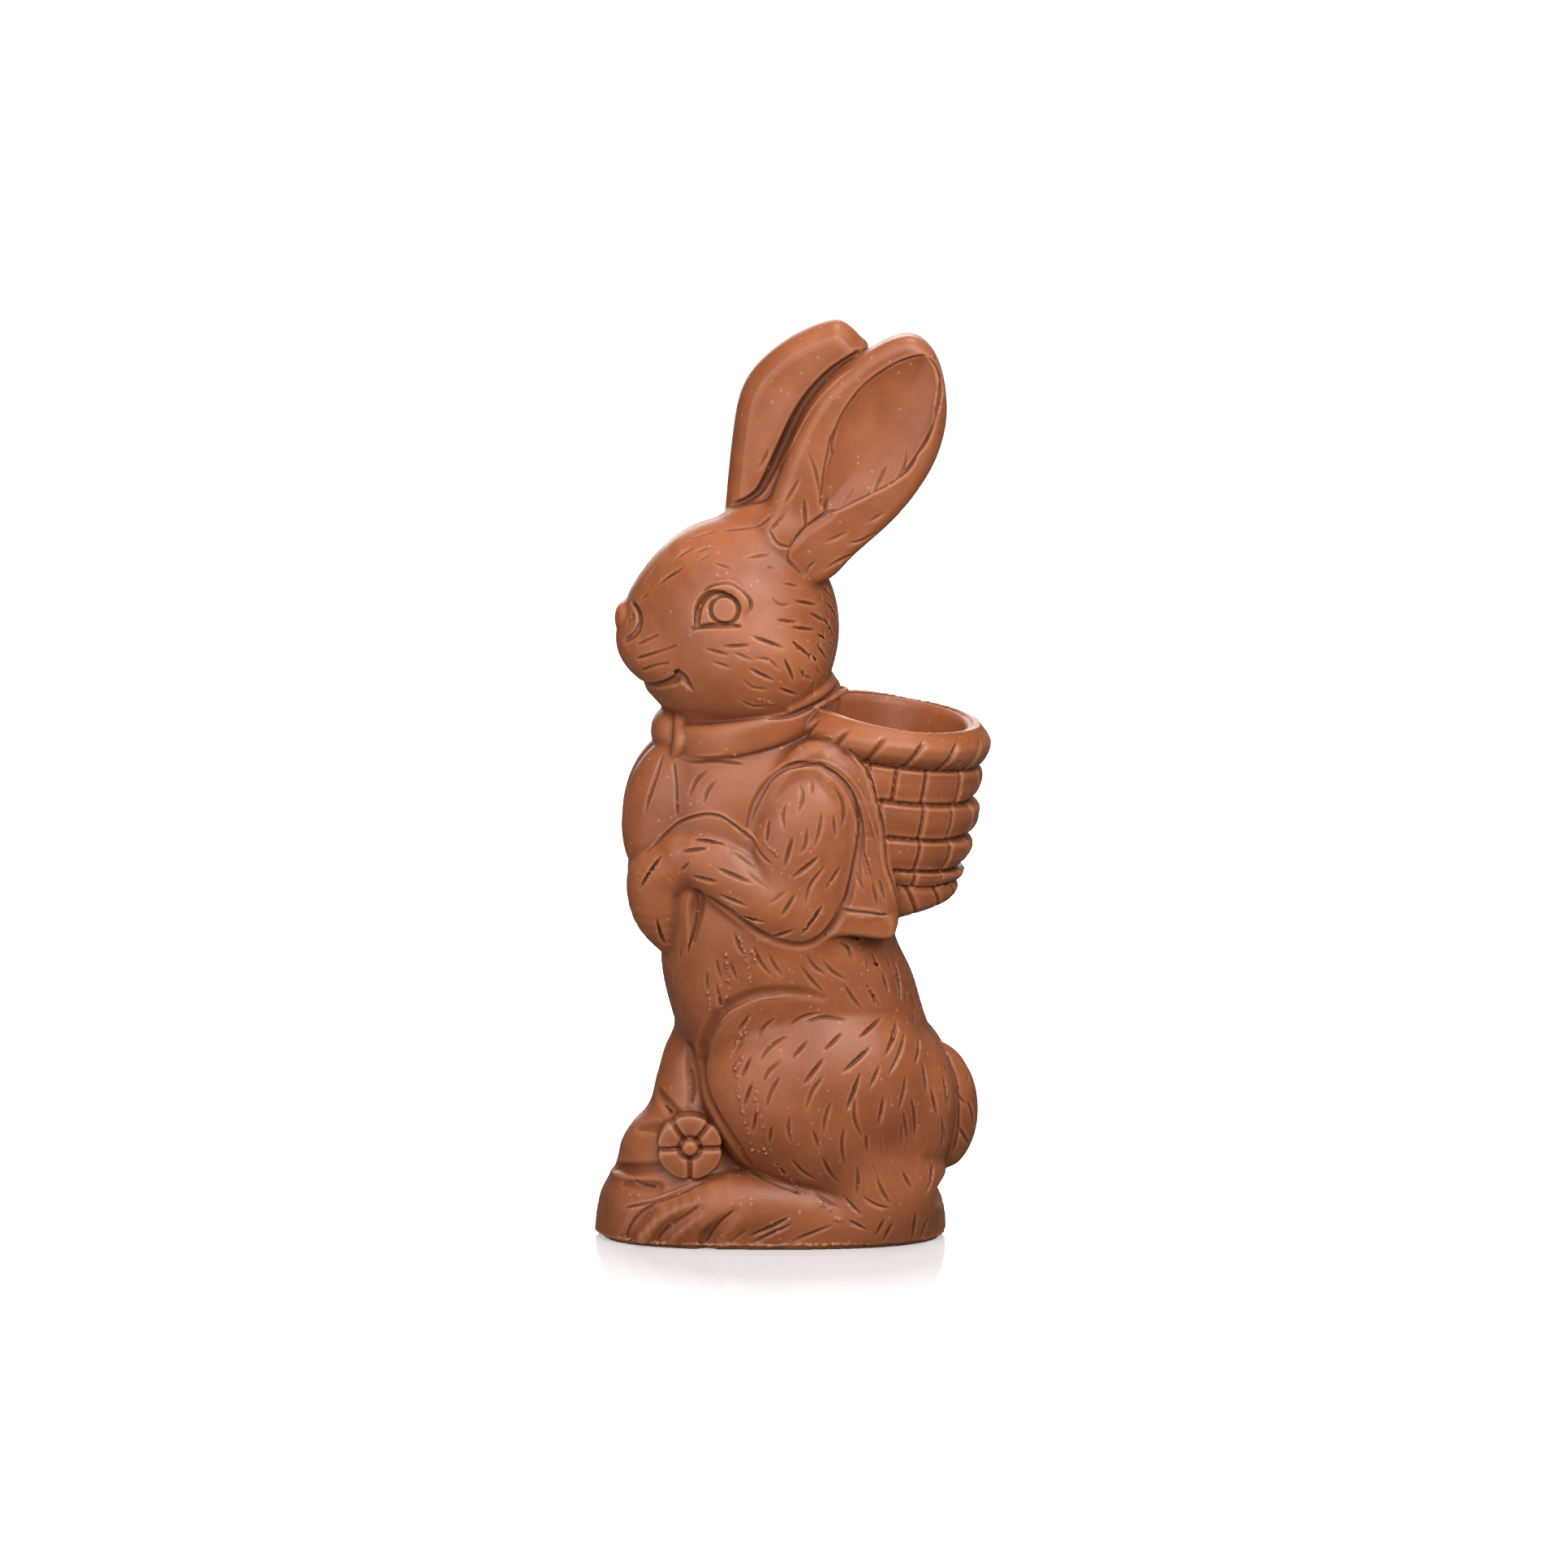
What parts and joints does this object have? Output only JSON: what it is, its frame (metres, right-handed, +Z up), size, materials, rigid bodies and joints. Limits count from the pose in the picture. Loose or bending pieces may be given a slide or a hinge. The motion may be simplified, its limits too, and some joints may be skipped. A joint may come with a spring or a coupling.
{
  "type": "chocolate bunny",
  "caption": "Standing moulded milk chocolate bunny in a scarf and vest, with a woven basket open at the top on its back.",
  "frame": {"origin": "middle of the bounding box in x and y, on the flat underside of the base at z = 0", "axes": "+Z up along the ears, -X the way the bunny faces, +X the basket and tail side, -Y the side seen in the picture"},
  "size_m": [0.0764, 0.0397, 0.179],
  "materials": {
    "chocolate": "semi-gloss milk chocolate"
  },
  "bodies": {
    "root": {"bunny": "chocolate"}
  },
  "joints": []
}
